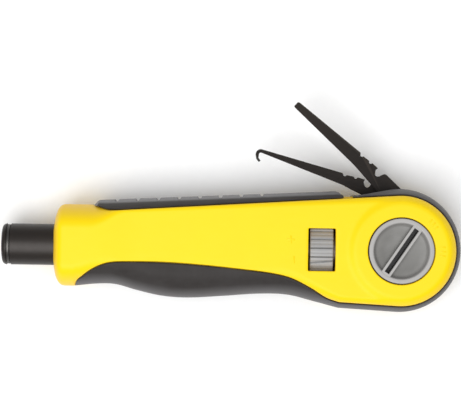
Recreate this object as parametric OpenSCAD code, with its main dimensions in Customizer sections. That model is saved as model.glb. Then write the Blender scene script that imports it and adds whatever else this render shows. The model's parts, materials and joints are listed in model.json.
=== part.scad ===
// Impact punch down tool with fold-out spudger and hook, force wheel and storage lid.
// The origin is the mouth of the blade socket on the barrel's axis. +X runs from the
// nose to the butt, +Y towards the spine with the fold-out tools, and +Z out of the
// side that carries the storage lid. The tool lies on its -Z side.

/* [Housing] */
// Where the housing's nose face starts, behind the socket's mouth
nose_x = 19.9; // [17:0.1:24]
// Length from the socket's mouth to the centre of the round head
head_x = 154.3; // [150:0.1:190]
// Radius of the round head
head_r = 24; // [23:0.1:29]
// Half height of the nose collar
collar_h = 15.9; // [15:0.1:19]
// Half thickness of the nose collar and of the head's raised disc
collar_z = 15; // [14.8:0.1:18]
// Half thickness of the handle between them
handle_z = 14; // [13.9:0.1:16]
// Radius of the head's raised disc
disc_r = 19.2; // [18:0.1:22]
// Thickness of the soft covering
skin = 2.2; // [1.2:0.1:3]
// Wall between a pocket and the side face
wall = 2.4; // [1.6:0.1:3]
// Slope of the spine and of the belly where they meet the head, in degrees
edge_slope = 3.1; // [1:0.1:5]

/* [Barrel] */
// Outer radius of the sliding barrel
barrel_r = 8; // [7:0.1:8.4]
// Length of the barrel
barrel_l = 46; // [44:0.5:52]
// Radius of the bore inside the barrel
barrel_bore = 5.6; // [5:0.1:6]
// Travel of the barrel into the housing
stroke = 11; // [8:0.5:12]
// Wall of the steel tube that guides the barrel and the hammer
tube_wall = 1.4; // [1:0.1:2]

/* [Blade socket] */
// Radius of the socket's bore for a blade shank
socket_r = 3.25; // [3:0.05:3.6]
// Depth of the socket's bore
socket_depth = 17; // [14:0.5:19]
// Width of the two bayonet slots
bayonet_w = 2; // [1.5:0.1:2.2]

/* [Impact mechanism] */
// Radius of the anvil's long pin
pin_r = 2.4; // [2:0.1:3]
// Length of the hammer
hammer_l = 28; // [24:0.5:30]
// Sideways travel of the trip latch
latch_travel = 1.6; // [1.2:0.1:2]
// Wire diameter of the main spring
main_wire = 1.5; // [1:0.1:1.8]
// Turns of the main spring
main_turns = 8; // [5:0.5:10]

/* [Force wheel] */
// Radius of the ribbed wheel
wheel_r = 12.6; // [11.5:0.1:12.8]
// Width of the wheel
wheel_w = 9; // [7:0.1:11]
// Where the middle of the wheel lies
wheel_x = 123.8; // [122:0.1:126]
// Number of ribs round the wheel
wheel_ribs = 22; // [16:1:32]
// Half height of the window over the wheel
window_h = 8.2; // [6:0.1:9]

/* [Fold-out tools] */
// Thickness of each fold-out blade
blade_t = 1.4; // [1:0.1:1.6]
// Radius of the blades' round root
root_r = 4.85; // [4:0.05:5]
// Radius of the pivot pin
pivot_r = 1.5; // [1:0.1:2]
// How far the pivot stands from the head's centre towards the spine
pivot_y = 18.9; // [18:0.1:19.5]
// Opening of the spudger from its folded place, in degrees
spudger_open = 43.2; // [0:0.1:108]
// Opening of the hook from its folded place, in degrees
hook_open = 17.6; // [0:0.1:108]
// Pitch of the grooves across the spine pad
groove_pitch = 8.04; // [6:0.02:10]

/* [Storage] */
// Outer radius of the storage lid
lid_r = 12.8; // [12:0.1:13.2]
// Radius of the storage cup's hollow
cup_r = 11.4; // [10.5:0.1:11.6]
// Width of the coin slot in the lid's bar
coin_w = 2.2; // [1.5:0.1:3]
// Angle of the lid's bar from +X when it is locked, in degrees
lid_angle = 56; // [45:1:80]

/* [Hidden] */

$fn = 72;
far = 60;              // longer than any cut needs to be
eps = 0.01;
run_gap = 0.05;        // radial clearance of steel running in steel
soft_gap = 0.3;        // clearance round moving plastic pieces
fit_gap = 0.02;        // radial clearance of parts that are seated and don't move
seam_gap = 0.12;       // between a panel's edge and the soft covering beside it
cover_gap = 0.35;      // under the soft covering, over its whole inner face
edge_step = 0.2;       // narrow lip beside a panel's edge
lip = 0.05;            // least width of a step between two sections
rim_z = 0.15;          // least height of a half body's edge over the parting plane
face_gap = 0.1;        // between faces that only come close

// Fold-out tools, stacked on the pivot with washers between them
washer_t = 0.3;
spudger_l = 54.5;          // pivot to tip
hook_l = 57.9;
stack_gap = 0.05;
blade_z = washer_t / 2 + stack_gap;
slot_half = blade_z + blade_t + stack_gap + washer_t;
pivot_x = head_x - 1.3;
pivot_at = [pivot_x, pivot_y];
pin_half = 9;
washer_r = root_r - 0.6;
open_max = 110;
slot_x = head_x - 61.5;
slot_floor = pivot_y - 3.1;
pocket_r = root_r + 0.45;
pinch_l = 60;              // reach of the opened blades that the slot's end clears

// Panel edges on the side faces
panel_r = head_r - 2.8;
top_slope = 3.9;
bottom_slope = 2.9;
grip_x = nose_x + 8.5;     // front tip of the grip
pad_x = nose_x + 15.1;     // front tip of the spine pad
pad_end = head_x - 22.4;   // rear end of the spine pad
pad_chamfer = 2.2;
belly_x = head_x - 23.5;   // where the belly meets its straight run to the head
dip_end = belly_x + 5;     // front end of the band round the head, behind the pad
dip_ramp = 16;             // over which that band rises to its full height
pad_line_x = pad_x + 10;   // where the pad's lower edge turns straight
groove_w = 1.4;
groove_depth = 0.9;
groove_count = 8;
groove_x = pad_x + 9.2;

// Belly and grip outlines: distance from nose_x, then height
belly_pts = [
    [8, -collar_h], [17, -collar_h + 1], [24, -collar_h + 0.9], [32.5, -collar_h - 1.3],
    [42, -collar_h - 3.3], [52, -collar_h - 3.9], [66, -collar_h - 3], [80, -collar_h - 1.9],
    [91, -collar_h - 2.1], [101, -collar_h - 4.4], [belly_x - nose_x, -round_end(belly_x, head_r, edge_slope)]
];
grip_pts = [
    [8.5, -collar_h + 0.4], [9.6, -13.3], [11.5, -11.7], [14.3, -9.5], [18, -7.4], [22, -6.1],
    [27, -5.65], [42, -5.6], [57, -6.4], [72.5, -7.8], [84, -9.1], [92, -10.9], [99.6, -14.6],
    [105.8, -18.4], [belly_x - nose_x, -round_end(belly_x, panel_r, bottom_slope)]
];
pad_pts = [
    [pad_x - nose_x, collar_h - 0.3], [pad_x - nose_x + 1.4, collar_h - 0.7],
    [pad_x - nose_x + 3.4, collar_h - 1.3],
    [pad_x - nose_x + 6.4, collar_h - 2.1], [pad_line_x - nose_x, round_end(pad_line_x, panel_r, top_slope)]
];

// Mechanism along the axis
tube_in = barrel_r + run_gap;
tube_out = tube_in + tube_wall;
bush_out = tube_out + 1;
bush_x = nose_x + 1.2;
bush_l = 6;
tube_x = bush_x + bush_l + face_gap;
socket_out = barrel_bore - fit_gap;
socket_l = socket_depth + 4;
slot_depth = 9;            // how far the bayonet slots run in
lock_groove = 2;           // width of the groove that the blade's lugs turn in
lug_room = 1.1;            // how far the lugs stand out of the shank
plunger_r = 2.6;
plunger_l = 5;
plunger_x = socket_depth - 2.5;
socket_end = socket_l + 2;
shoulder_x = barrel_l - 4;
anvil_l = 6;
plunger_seat = shoulder_x - anvil_l;    // rear seat of the plunger's spring
hammer_x = barrel_l + 10;
latch_x = hammer_x + 6.5;
latch_t = 3;
latch_w = 6;
latch_gap = 0.08;
hammer_r = barrel_r;
hammer_end = hammer_x + hammer_l;
latch_top = tube_out - 0.4;
latch_foot = -4.6;
cam_slope = latch_travel / stroke;
cam_run = stroke + 0.3;
cam_end = latch_x + latch_t + cam_run;
cam_low = latch_top + latch_gap - cam_run * cam_slope;
cam_out = tube_out + 1.2;
stop_x = barrel_l - 6;
ring_x = 1.8;              // groove near the nose and its ring
ring_w = 1.5;
stop_r = 1.2;
wheel_front = wheel_x - wheel_w / 2;
wheel_back = wheel_x + wheel_w / 2;
seat_x = wheel_front - 6.3;
seat_t = 3;
screw_travel = 1.5;        // each way, over a quarter turn of the wheel
tube_end = seat_x + seat_t + screw_travel + face_gap;
screw_r = 4.6;
screw_end = wheel_back + 5.5;
key_w = 5;
key_top = tube_out + 0.9;
hub_r = 8;
rib_depth = 0.75;
washer_l = 1;
wheel_pocket = wheel_r + soft_gap;
wheel_side = 0.75;         // room beside the wheel
window_w = wheel_w + 2 * wheel_side;

// Storage
cup_wall = 1.4;
cup_out = cup_r + cup_wall;
lid_top = collar_z + 0.4;
lid_disc_z = collar_z - 1.8;
cup_top = lid_disc_z - 2.6;
cup_floor = -collar_z + 4;
cup_base = 1.2;
lug_z = cup_top - 3.5;
lug_h = 1.3;
lug_out = 0.9;
lug_arc = 18;
hub_wall = 1.3;
hub_out = cup_r - 0.15;
hub_low = lug_z - 0.4;
seal_r = 0.8;
seal_z = lid_disc_z - 1.3;
dish_r = lid_r - 2.5;
dish_depth = 1.4;
bar_w = coin_w + 2.2;
coin_depth = 2.4;
coin_l = 2 * dish_r - 0.8;

// Screws from the lower side, in the ribs that both shells share
rib_first = nose_x + 22.5;
rib_pitch = 21.2;
rib_spots = [for (i = [0:3]) rib_first + i * rib_pitch];
rib_half = 4;
fastener_r = 1.25;
fastener_head_r = 2.5;
fastener_head_h = 1.8;
fastener_z = -7.5;         // under the head
fastener_top = 5.5;        // tip of the screw
fastener_y = tube_out + fastener_r + 0.2;   // just past the guide tube
head_screw_x = head_x - 17.3;
screw_spots = [[rib_spots[0], fastener_y], [rib_spots[1], -13.4], [rib_spots[2], fastener_y],
    [rib_spots[3], -12.4], [head_screw_x, -14.6], [head_screw_x, 12.6]];

// ---- Outlines and surfaces ----

function clamp01(t) = min(1, max(0, t));
function ease(t) = let (c = clamp01(t)) c * c * (3 - 2 * c);
function mix(a, b, t) = a + (b - a) * t;
function bulge(t) = let (c = clamp01(t)) sqrt(c * (2 - c));
function even(a, b, n) = [for (i = [0:n]) mix(a, b, i / n)];

// Smooth curve y(x) through points sorted by x
function run_slope(p, i) = let (a = max(0, i - 1), b = min(len(p) - 1, i + 1))
    (p[b][1] - p[a][1]) / (p[b][0] - p[a][0]);
function blend_run(p, i, t, w) =
    (2 * t ^ 3 - 3 * t ^ 2 + 1) * p[i][1] + (t ^ 3 - 2 * t ^ 2 + t) * w * run_slope(p, i)
    + (3 * t ^ 2 - 2 * t ^ 3) * p[i + 1][1] + (t ^ 3 - t ^ 2) * w * run_slope(p, i + 1);
function through(p, x, i = 0) = x <= p[0][0] ? p[0][1]
    : i >= len(p) - 1 ? p[len(p) - 1][1]
    : x > p[i + 1][0] ? through(p, x, i + 1)
    : let (w = p[i + 1][0] - p[i][0]) blend_run(p, i, (x - p[i][0]) / w, w);

// Height of a line that touches a circle of radius r round the head's centre, then of the circle
function round_end(x, r, slope) = x < head_x - r * sin(slope)
    ? r / cos(slope) - (head_x - x) * tan(slope)
    : sqrt(max(0, r ^ 2 - (x - head_x) ^ 2));

// The rounded nose shrinks every section towards the axis
function nose_share(x) = (1 - (1 - clamp01((x - nose_x) / 5)) ^ 3) ^ (1 / 3);

function top_edge(x) = nose_share(x)
    * (x < pad_x ? collar_h : mix(collar_h, round_end(x, head_r, edge_slope), ease((x - pad_x) / 2.5)));
function bottom_edge(x) = nose_share(x)
    * (x < belly_x ? through(belly_pts, x - nose_x) : -round_end(x, head_r, edge_slope));
function top_rail(x, sunk) = x > head_x
    ? sqrt(max(0, (head_r - sunk) ^ 2 - (x - head_x) ^ 2)) : top_edge(x) - sunk;
function low_rail(x, sunk) = x > head_x ? -top_rail(x, sunk) : bottom_edge(x) + sunk;
function panel_top(x) = x < pad_x ? top_edge(x)
    : x < pad_line_x ? through(pad_pts, x - nose_x) : round_end(x, panel_r, top_slope);
function panel_bottom(x) = x < grip_x ? bottom_edge(x)
    : x < belly_x ? through(grip_pts, x - nose_x) : -round_end(x, panel_r, bottom_slope);

// Half thickness of the side face before its edges are rounded
function face_z(x, y) =
    mix(mix(collar_z, handle_z, ease((x - nose_x - 12) / 22)), collar_z,
        ease((disc_r + 1.2 - norm([x - head_x, y])) / 2.4));
// How far in from the outline the rounding of an edge reaches
function top_round(x) = mix(9, 5.5, ease((x - nose_x - 14) / 14));
function bottom_round(x) =
    mix(mix(9, 11, ease((x - nose_x - 8) / 12)), 5.5, ease((x - nose_x - 88) / 26));

// Height of the housing's side surface over the parting plane, sunk by a depth
function side_z(x, y, sunk = 0) = let (
        past = x > head_x,
        share = nose_share(x),
        d_top = past ? head_r - sunk - norm([x - head_x, y]) : top_edge(x) - sunk - y,
        d_low = past ? d_top : y - bottom_edge(x) - sunk
    ) (face_z(x, y) - sunk) * share * bulge(d_top / top_round(x) / share)
        * (past ? 1 : bulge(d_low / bottom_round(x) / share));

// A closed solid from sections, each a ring of the same number of points. The end
// sections are closed by strips between their two halves. Rings that run the other way
// round are turned
module loft(drawn, turned = false) {
    n = len(drawn[0]);
    rings = turned ? [for (r = drawn) [for (j = [n - 1:-1:0]) r[j]]] : drawn;
    m = len(rings);
    sides = [for (i = [0:m - 2]) for (j = [0:n - 1]) let (
            a = i * n + j, b = i * n + (j + 1) % n, c = a + n, d = b + n
        ) each [[a, d, b], [a, c, d]]];
    half = floor(n / 2);
    strip = [for (j = [0:half - 1]) let (a = j, b = j + 1, c = n - 1 - j, d = n - 2 - j)
        each (b < d ? [[a, b, c], [b, d, c]] : b == d ? [[a, b, c]] : [])];
    tail = [for (t = strip) [for (k = [0, 2, 1]) t[k] + (m - 1) * n]];
    polyhedron([for (r = rings) each r], concat(sides, strip, tail), convexity = 8);
}

// Evenly spread stations, no more than a step apart
function body_run(from, to, step = 6) = even(from, to, ceil((to - from) / step));
nose_run = [for (d = [0.03, 0.3, 0.9, 2, 3.4, 5]) nose_x + d];
// Stations that the shell shares with its soft covering, so that their facets match
grip_run = [for (d = [0.6, 1.5, 3.2]) grip_x + d];
pad_run = [for (d = [0.5, 1.2, 2, 3]) pad_x + d];
long_run = body_run(pad_x + 6, belly_x);
rear_run = body_run(dip_end, head_x);

// Section across X of a half shell: flat on the parting plane, sunk under the soft
// covering on both sides, and stepped up to the outer surface between the panel edges
function shell_ring(x) = let (
        on_panel = x <= head_x + panel_r,
        p_low = min(-edge_step, max(panel_bottom(x), low_rail(x, 0) + edge_step)),
        p_high = max(edge_step, min(panel_top(x), top_rail(x, 0) - edge_step)),
        y_low = min(low_rail(x, skin), p_low - edge_step),
        y_high = max(top_rail(x, skin), p_high + edge_step),
        n = 12,
        shape = [for (j = [0:n]) let (y = mix(p_high, p_low, (1 - cos(180 * j / n)) / 2))
            [x, y, max(rim_z, side_z(x, y, on_panel ? 0 : skin) + (on_panel ? 0 : rim_z))]],
        cover_high = [for (y = even(y_high, p_high, 3)) [x, y, max(rim_z, side_z(x, y, skin))]],
        cover_low = [for (y = even(p_low, y_low, 4)) [x, y, max(rim_z, side_z(x, y, skin))]],
        flat = [for (y = even(y_low, y_high, n + 8)) [x, y, 0]]
    ) concat(flat, cover_high, shape, cover_low);

module shell_block() {
    panel_turns = [for (a = [14:14:84]) head_x + panel_r * sin(a)];
    rim = [head_x + panel_r - eps, head_x + panel_r + eps, head_x + mix(panel_r, head_r - skin, 0.8)];
    loft([for (x = concat(nose_run, [nose_x + 7, grip_x, grip_x + lip], grip_run, [pad_x, pad_x + lip],
        pad_run, long_run, rear_run, panel_turns, rim)) shell_ring(x)]);
}

// Hollow bays between the ribs that hold the guide tube and take the screws
module half_bays() {
    inset = skin + wall;
    ends = concat([nose_x + 11], [for (x = rib_spots) each [x - rib_half, x + rib_half]], [seat_x + 1]);
    for (i = [0:2:len(ends) - 2])
        loft([for (x = even(ends[i], ends[i + 1], 3)) half_ring(
            x, low_rail(x, inset), min(top_rail(x, inset), slot_floor - wall), inset, 8)]);
}

// Section of a bay: flat just past the parting plane, its roof following the side face
function half_ring(x, y_low, y_high, sunk, n) = concat(
    [for (y = even(y_low, y_high, n)) [x, y, -1]],
    [for (y = even(y_high, y_low, n)) [x, y, max(rim_z, side_z(x, y, sunk))]]
);

// Slot in the spine that the fold-out tools close into
module blade_slot(half) {
    stop = [for (p = [[0, root_r + 0.3], [-pinch_l, root_r + 0.3]])
        pivot_at + [p.x * cos(open_max) + p.y * sin(open_max), p.y * cos(open_max) - p.x * sin(open_max)]];
    translate([0, 0, -half]) {
        linear_extrude(2 * half)
            polygon([[slot_x, slot_floor], [pivot_x, slot_floor], stop[0], stop[1],
                [pivot_x, far], [slot_x, far]]);
        translate(pivot_at)
            cylinder(h = 2 * half, r = pocket_r);
    }
}

module along_x(x) {
    translate([x, 0, 0])
        rotate([0, 90, 0])
            children();
}

// Pockets and bores that both shells share, above and below the parting plane
module mechanism_space() {
    along_x(0)
        cylinder(h = bush_x, r = barrel_r + soft_gap);
    along_x(bush_x - face_gap)
        cylinder(h = bush_l + 2 * face_gap, r = bush_out);
    along_x(tube_x - face_gap)
        cylinder(h = wheel_front - wheel_side - tube_x + 2 * face_gap, r = tube_out + fit_gap);
    translate([latch_x - 3, 0, -key_w])
        cube([cam_end - latch_x + 6, cam_out + face_gap, 2 * key_w]);
    translate([seat_x - screw_travel - 1, 0, -key_w / 2 - face_gap])
        cube([seat_t + 2 * screw_travel + 1 + face_gap, key_top + 0.5, key_w + 2 * face_gap]);
    along_x(wheel_front - wheel_side)
        cylinder(h = wheel_w + 2 * wheel_side + soft_gap, r = wheel_pocket);
    along_x(wheel_back)
        cylinder(h = washer_l + face_gap, r = hub_r + soft_gap);
    along_x(wheel_back)
        cylinder(h = screw_end + screw_travel + 0.5 - wheel_back, r = screw_r + soft_gap);
    blade_slot(slot_half);
    translate([pivot_x, pivot_y, -pin_half])
        cylinder(h = 2 * pin_half, r = pivot_r);
}

module half_shell() {
    difference() {
        shell_block();
        half_bays();
        mechanism_space();
    }
}

// Wells that the screws' heads sit in, open on the lower side
module screw_wells(h) {
    for (p = screw_spots)
        translate([p.x, p.y, -far])
            cylinder(h = h, r = fastener_head_r + soft_gap);
}

module upper_shell() {
    color([0.98, 0.85, 0.1])
        difference() {
            half_shell();
            for (p = screw_spots)
                translate([p.x, p.y, -1])
                    cylinder(h = fastener_top + 2, r = fastener_r);
            translate([wheel_x - window_w / 2, -window_h, 0])
                cube([window_w, 2 * window_h, far]);
            translate([head_x, 0, -1])
                cylinder(h = far, r = cup_out + fit_gap);
            translate([head_x, 0, lid_disc_z - 0.1])
                cylinder(h = far, r = lid_r + soft_gap / 2);
        }
}

module lower_shell() {
    color([0.98, 0.85, 0.1])
        difference() {
            mirror([0, 0, 1])
                half_shell();
            for (p = screw_spots)
                translate([p.x, p.y, -far])
                    cylinder(h = far + 1, r = fastener_r);
            screw_wells(far + fastener_z);
            translate([head_x, 0, cup_floor - cup_base])
                cylinder(h = far, r = cup_out + fit_gap);
        }
}

// Section of the soft covering, from the outline in to the panel and back along the shell.
// Its outer corner can be cut down to a thin edge
function skin_ring(base, dir, outer, inner, cut = 0) = let (
        n = 7,
        deep = skin - cover_gap,
        rim = outer - deep,
        edge = outer - min(cut, deep - edge_step),
        out = [for (j = [0:n]) base + dir * mix(edge, inner, (j / n) ^ 2)],
        back = [for (j = [0:n]) base + dir * mix(max(rim, inner + lip), inner, ((n - j) / n) ^ 2)]
    ) concat(
        [for (j = [0:n]) [out[j].x, out[j].y, j == 0 ? 0 : side_z(out[j].x, out[j].y)]],
        [for (p = back) [p.x, p.y, norm(p - base) > rim - eps ? 0 : max(0, side_z(p.x, p.y, deep))]]
    );

// Soft covering of one half: lower grip and the band round the head
module half_grip() {
    turns = [for (a = [-80:10:89]) a];
    loft(concat(
        [for (x = concat(grip_run, [pad_x], pad_run, long_run, rear_run))
            skin_ring([x, 0], [0, -1], -bottom_edge(x), seam_gap - panel_bottom(x))],
        [for (a = turns) skin_ring([head_x, 0], [cos(a), sin(a)], head_r, panel_r + seam_gap)],
        [for (i = [len(rear_run) - 1:-1:0]) let (x = rear_run[i])
            skin_ring([x, 0], [0, 1], top_edge(x), panel_top(x) + seam_gap,
                skin * clamp01((dip_end + dip_ramp - x) / dip_ramp))]
    ), turned = true);
}

// Pad along the spine, grooved across for the thumb
module half_spine_pad() {
    chamfer_x = pad_end - pad_chamfer;
    difference() {
        loft([for (x = concat(pad_run, [for (x = long_run) if (x < chamfer_x - 1) x], [chamfer_x, pad_end]))
            skin_ring([x, 0], [0, 1], top_edge(x), panel_top(x) + seam_gap, x == pad_end ? skin : 0)]);
        for (i = [0:groove_count - 1])
            translate([groove_x + i * groove_pitch - groove_w / 2,
                top_edge(groove_x + i * groove_pitch) - groove_depth, -1])
                cube([groove_w, far, far]);
    }
}

module upper_grip() {
    color([0.24, 0.22, 0.21])
        difference() {
            half_grip();
            blade_slot(slot_half);
        }
}

module lower_grip() {
    color([0.24, 0.22, 0.21])
        difference() {
            mirror([0, 0, 1])
                half_grip();
            blade_slot(slot_half);
            screw_wells(far);
        }
}

module upper_spine_pad() {
    color([0.3, 0.3, 0.3])
        difference() {
            half_spine_pad();
            blade_slot(slot_half);
        }
}

module lower_spine_pad() {
    color([0.3, 0.3, 0.3])
        difference() {
            mirror([0, 0, 1])
                half_spine_pad();
            blade_slot(slot_half);
            screw_wells(far);
        }
}

module housing_screws() {
    drive_l = 3;
    drive_w = 0.6;
    color("dimgray")
        for (p = screw_spots)
            translate([p.x, p.y, fastener_z])
                difference() {
                    union() {
                        cylinder(h = fastener_top - fastener_z, r = fastener_r);
                        translate([0, 0, -fastener_head_h])
                            cylinder(h = fastener_head_h, r = fastener_head_r);
                    }
                    for (a = [0, 90])
                        rotate(a)
                            translate([-drive_l / 2, -drive_w / 2, -fastener_head_h - eps])
                                cube([drive_l, drive_w, fastener_head_h / 2]);
                }
}

// ---- Barrel and blade socket ----

module nose_bushing() {
    color("darkgoldenrod")
        along_x(bush_x)
            difference() {
                cylinder(h = bush_l, r = bush_out);
                translate([0, 0, -1])
                    cylinder(h = bush_l + 2, r = tube_in);
            }
}

module guide_tube() {
    color("silver")
        difference() {
            along_x(tube_x)
                cylinder(h = tube_end - tube_x, r = tube_out);
            along_x(tube_x - 1)
                cylinder(h = tube_end - tube_x + 2, r = tube_in);
            translate([latch_x - 0.5, 0, -latch_w / 2 - run_gap])
                cube([stroke + latch_t + 1, far, latch_w + 2 * run_gap]);
            translate([seat_x - screw_travel - 0.5, 0, -key_w / 2 - run_gap])
                cube([far, far, key_w + 2 * run_gap]);
            for (s = [-1, 1])
                translate([stop_x, 0, s > 0 ? 0 : -far])
                    cylinder(h = far, r = stop_r);
        }
}

module stop_pins() {
    color("gray")
        for (s = [0, 1])
            mirror([0, 0, s])
                intersection() {
                    translate([stop_x, 0, barrel_bore + 0.8])
                        cylinder(h = 10, r = stop_r);
                    along_x(stop_x - 5)
                        cylinder(h = 10, r = tube_out);
                }
}

// Long ramp that pushes the latch sideways as the hammer travels
module trip_cam() {
    color("gray")
        translate([0, 0, -latch_w / 2])
            linear_extrude(latch_w)
                polygon([
                    [latch_x - 0.4, latch_top + latch_gap],
                    [latch_x + latch_t, latch_top + latch_gap],
                    [cam_end, cam_low],
                    [cam_end, cam_out],
                    [latch_x - 0.4, cam_out]
                ]);
}

module nose_barrel() {
    nose_fillet = 1.6;
    color([0.2, 0.18, 0.17])
        difference() {
            along_x(0)
                rotate_extrude($fn = 96)
                    difference() {
                        union() {
                            translate([0, nose_fillet])
                                square([barrel_r, barrel_l - nose_fillet]);
                            square([barrel_r - nose_fillet, nose_fillet + 0.1]);
                            translate([barrel_r - nose_fillet, nose_fillet])
                                circle(nose_fillet, $fn = 48);
                        }
                        translate([barrel_r - 0.6, ring_x])
                            square([far, ring_w]);
                    }
            along_x(-1)
                cylinder(h = barrel_l + 2, r = barrel_bore);
            for (s = [0, 1])
                mirror([0, 0, s])
                    translate([0, 0, barrel_bore - 1]) {
                        for (x = [stop_x, stop_x - stroke])
                            translate([x, 0, 0])
                                cylinder(h = 10, r = stop_r + run_gap);
                        translate([stop_x - stroke, -stop_r - run_gap, 0])
                            cube([stroke, 2 * (stop_r + run_gap), 10]);
                    }
        }
}

module snap_ring() {
    color("dimgray")
        along_x(ring_x + 0.1)
            difference() {
                cylinder(h = ring_w - 0.2, r = barrel_r - 0.1);
                translate([0, 0, -1])
                    cylinder(h = ring_w + 2, r = barrel_r - 0.58);
                translate([0, -1, -1])
                    cube([far, 2, ring_w + 2]);
            }
}

module blade_socket() {
    color([0.35, 0.34, 0.33])
        difference() {
            along_x(0)
                cylinder(h = socket_end, r = socket_out);
            along_x(-1)
                cylinder(h = socket_depth + 1, r = socket_r);
            along_x(slot_depth)
                cylinder(h = lock_groove, r = socket_r + lug_room);
            translate([-1, -bayonet_w / 2, -socket_r - lug_room])
                cube([slot_depth + 1 + eps, bayonet_w, 2 * (socket_r + lug_room)]);
            along_x(socket_depth - 1)
                cylinder(h = far, r = plunger_r + run_gap);
        }
}

// Sprung plunger that keeps a blade's lugs tight in their groove
module blade_plunger() {
    color("silver")
        along_x(plunger_x) {
            cylinder(h = plunger_l - 1, r = plunger_r);
            cylinder(h = plunger_l + 1, r = 1);
        }
}

// Wire coil along X between two faces, the wire's edge touching neither
module coil(from, to, r, wire, turns, sides) {
    steps = 14;
    length = to - from - wire - 2 * face_gap;
    count = round(turns * steps);
    loop = [for (i = [0:count]) let (a = 360 * i / steps, x = from + wire / 2 + face_gap + length * i / count)
        [for (k = [0:sides - 1]) let (b = 360 * k / sides, rr = r + wire / 2 * cos(b))
            [x + wire / 2 * sin(b), rr * cos(a), rr * sin(a)]]];
    loft(loop, turned = true);
}

module plunger_spring() {
    color("silver")
        coil(plunger_x + plunger_l - 1, plunger_seat, r = 1.7, wire = 0.5, turns = 7, sides = 6);
}

// Disc that takes the blow, and the long pin that pushes the latch
module anvil() {
    color("slategray")
        along_x(plunger_seat) {
            cylinder(h = anvil_l, r = socket_out);
            cylinder(h = latch_x - face_gap / 2 - plunger_seat, r = pin_r);
        }
}

module anvil_spring() {
    color("silver")
        coil(shoulder_x, hammer_x, r = pin_r + 1.1, wire = 0.7, turns = 7, sides = 6);
}

// Heavy block, flat along the top where it passes under the cam
module hammer() {
    color("slategray")
        difference() {
            along_x(hammer_x)
                cylinder(h = hammer_l, r = hammer_r);
            along_x(hammer_x - 1)
                cylinder(h = hammer_l - 5, r = pin_r + run_gap);
            translate([latch_x - run_gap, latch_foot - latch_travel - 1.2, -latch_w / 2 - run_gap])
                cube([latch_t + 2 * run_gap, far, latch_w + 2 * run_gap]);
            translate([hammer_x - 1, cam_low - 2 * face_gap, -latch_w / 2 - run_gap])
                cube([hammer_l + 2, far, latch_w + 2 * run_gap]);
        }
}

// Sliding plate: its hole stands off the pin until the cam has pushed it across
module trip_latch() {
    color("silver")
        difference() {
            translate([latch_x, latch_foot, -latch_w / 2])
                cube([latch_t, latch_top - latch_foot, latch_w]);
            along_x(latch_x - 1)
                translate([0, latch_travel, 0])
                    cylinder(h = latch_t + 2, r = pin_r + run_gap);
        }
}

module latch_spring() {
    room = latch_travel + 1.1;
    color("silver")
        translate([latch_x + latch_t / 2, latch_foot - room, 0])
            rotate([0, 0, 90])
                coil(0, room, r = 1, wire = 0.35, turns = 3, sides = 6);
}

// ---- Main spring and force setting ----

module main_spring() {
    color("silver")
        coil(hammer_end, seat_x, r = hammer_r - 1.6, wire = main_wire, turns = main_turns, sides = 8);
}

module preload_screw() {
    color("darkgray")
        difference() {
            union() {
                along_x(seat_x)
                    cylinder(h = seat_t, r = tube_in - run_gap);
                translate([seat_x, 0, -key_w / 2])
                    cube([seat_t, key_top, key_w]);
                along_x(seat_x)
                    cylinder(h = screw_end - seat_x, r = screw_r);
            }
            along_x(screw_end - 3)
                cylinder(h = far, r = 1.5);
        }
}

module force_wheel() {
    color([0.68, 0.67, 0.66])
        difference() {
            along_x(wheel_front)
                cylinder(h = wheel_w, r = wheel_r);
            along_x(wheel_front - 1)
                cylinder(h = wheel_w + 2, r = screw_r + run_gap);
            for (i = [0:wheel_ribs - 1])
                rotate([360 * (i + 0.5) / wheel_ribs, 0, 0])
                    translate([wheel_front - 1, -0.55, wheel_r - rib_depth])
                        cube([wheel_w + 2, 1.1, far]);
        }
}

module thrust_washer() {
    color("silver")
        along_x(wheel_back + run_gap)
            difference() {
                cylinder(h = washer_l, r = hub_r);
                translate([0, 0, -1])
                    cylinder(h = washer_l + 2, r = screw_r + 0.2);
            }
}

// ---- Fold-out tools, drawn folded: the tip towards -X and the notched back towards +Y ----

function arc(c, r, from, to, n) = [for (i = [0:n]) let (a = mix(from, to, i / n)) c + r * [cos(a), sin(a)]];

// Back edge with three thumbnail notches, from the round root towards the tip
back_edge = concat(
    [[0, root_r], [-10.2, root_r], [-10.8, 4.55], [-11.4, 3.3], [-11.7, 2.3]],
    arc([-12.75, 2.65], 1, 340, 200, 5),
    [[-13.9, 2.5], [-14.4, 3.3], [-14.25, 4.4], [-17.1, 4.3]],
    arc([-17.9, 4.1], 0.65, 340, 190, 4),
    [[-19, 4.1], [-21.4, 3.8]],
    arc([-22.25, 3.75], 0.65, 340, 190, 4),
    [[-23.3, 4.05]]
);

module fold_blade(z, open, outline) {
    translate([pivot_x, pivot_y, z])
        rotate(-open)
            difference() {
                linear_extrude(blade_t)
                    polygon(outline);
                translate([0, 0, -1])
                    cylinder(h = blade_t + 2, r = pivot_r + run_gap);
            }
}

module spudger_blade() {
    color([0.2, 0.18, 0.16])
        fold_blade(blade_z, spudger_open, concat(
            back_edge,
            [[-spudger_l + 0.7, 1.55], [-spudger_l, 1.2], [-spudger_l, -0.9], [-spudger_l + 0.6, -1.14]],
            [[-21.8, -1.14], [-11.8, -2.04], [-7, -2.4]],
            arc([0, 0], root_r, 212, 445, 24)
        ));
}

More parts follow.
